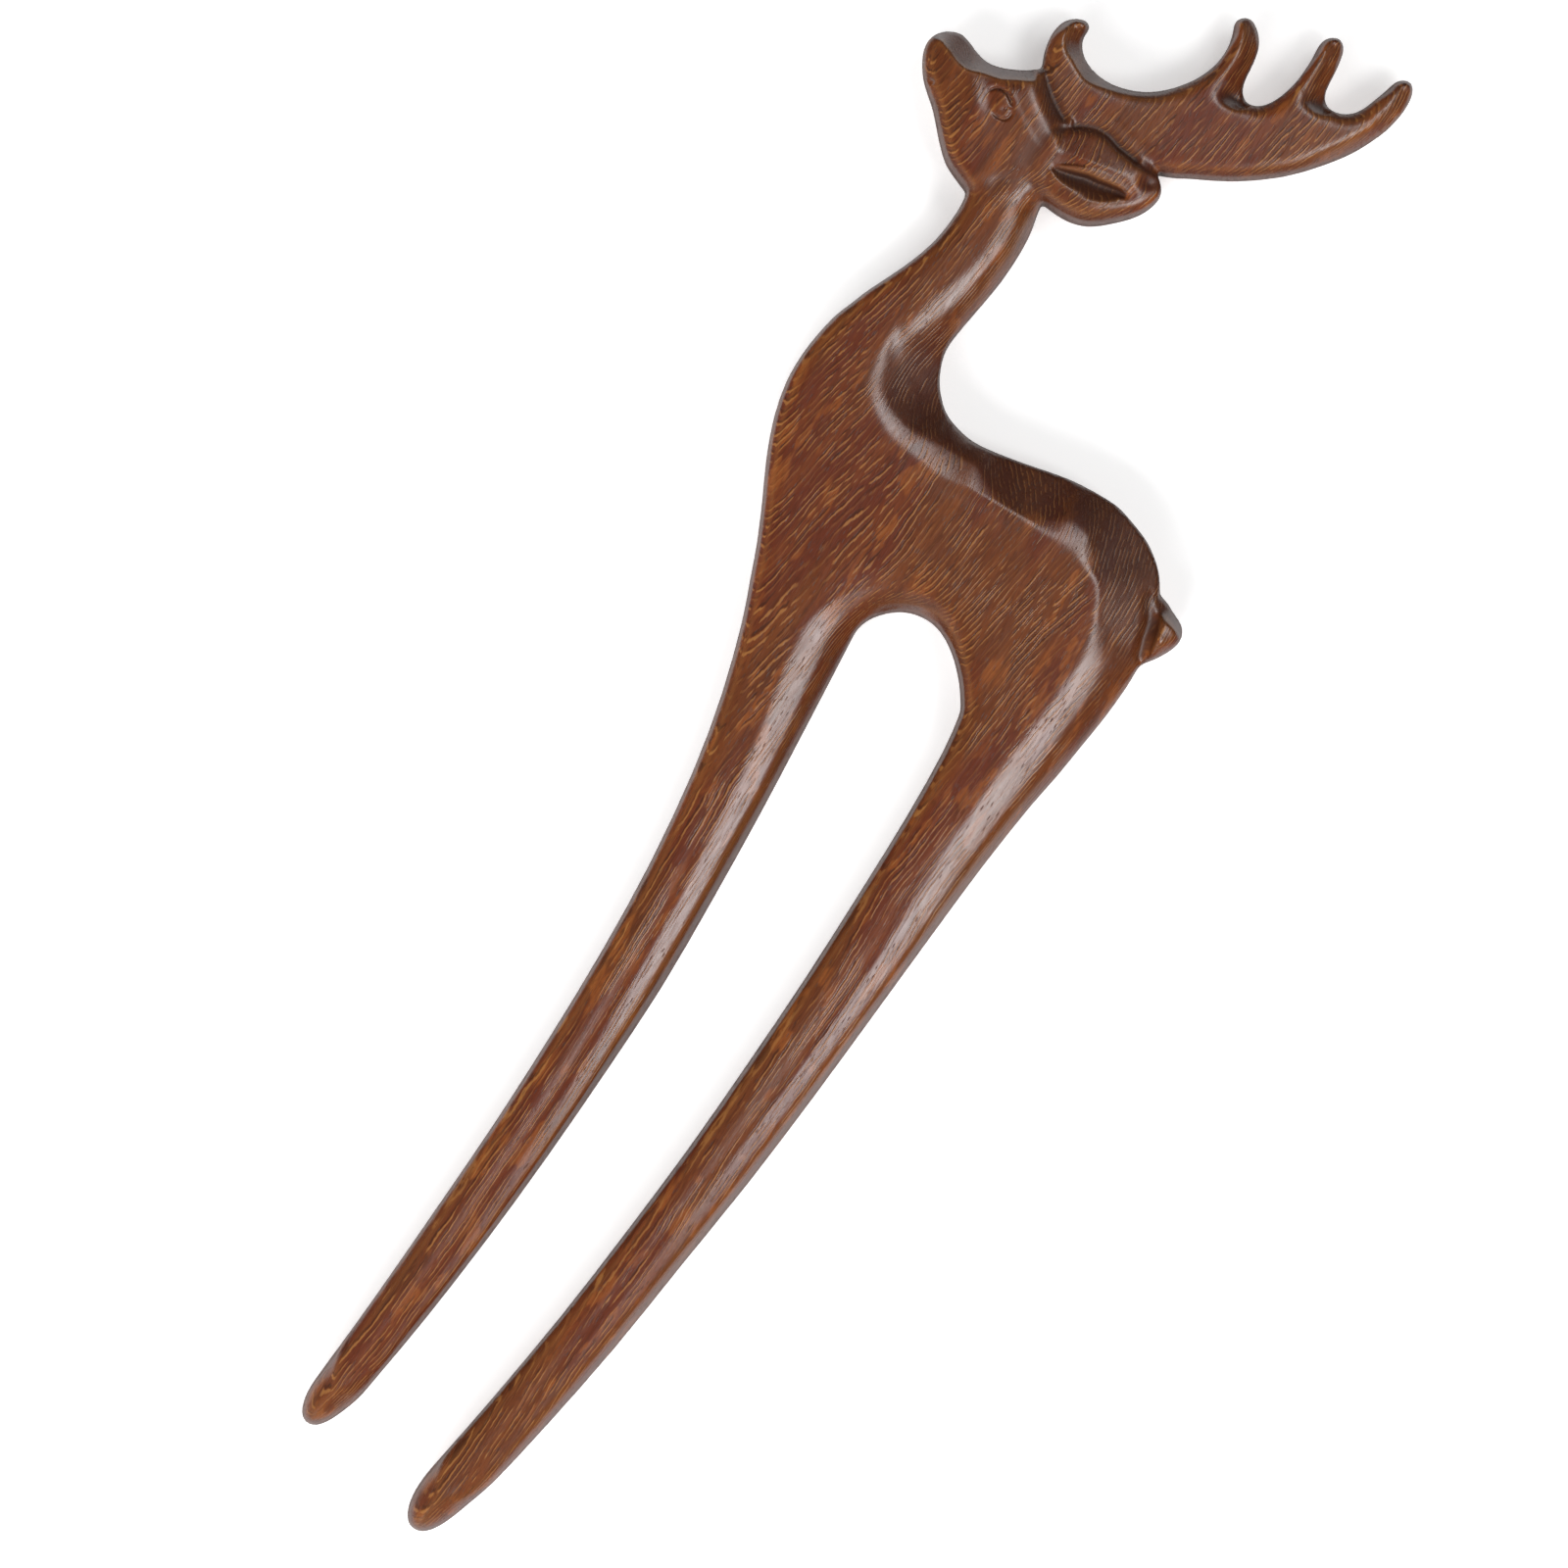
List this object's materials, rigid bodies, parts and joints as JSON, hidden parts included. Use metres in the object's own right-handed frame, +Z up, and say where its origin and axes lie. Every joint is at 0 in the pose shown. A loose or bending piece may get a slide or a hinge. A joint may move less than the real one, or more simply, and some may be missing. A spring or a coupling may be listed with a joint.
{
  "type": "hair fork",
  "caption": "Two-prong wooden hair fork carved as a standing stag, whose long legs are the prongs that hold a bun.",
  "frame": {"origin": "on the surface it lies on, under the middle of the fork's own bounding box", "axes": "+Y from the prong tips to the antler, +X from the stag's chest to its tail, +Z up through the thickness"},
  "size_m": [0.0544, 0.1792, 0.008],
  "materials": {
    "wood": "satin, oiled reddish-brown hardwood with grain along the prongs"
  },
  "bodies": {
    "root": {"deer_fork": "wood"}
  },
  "joints": []
}
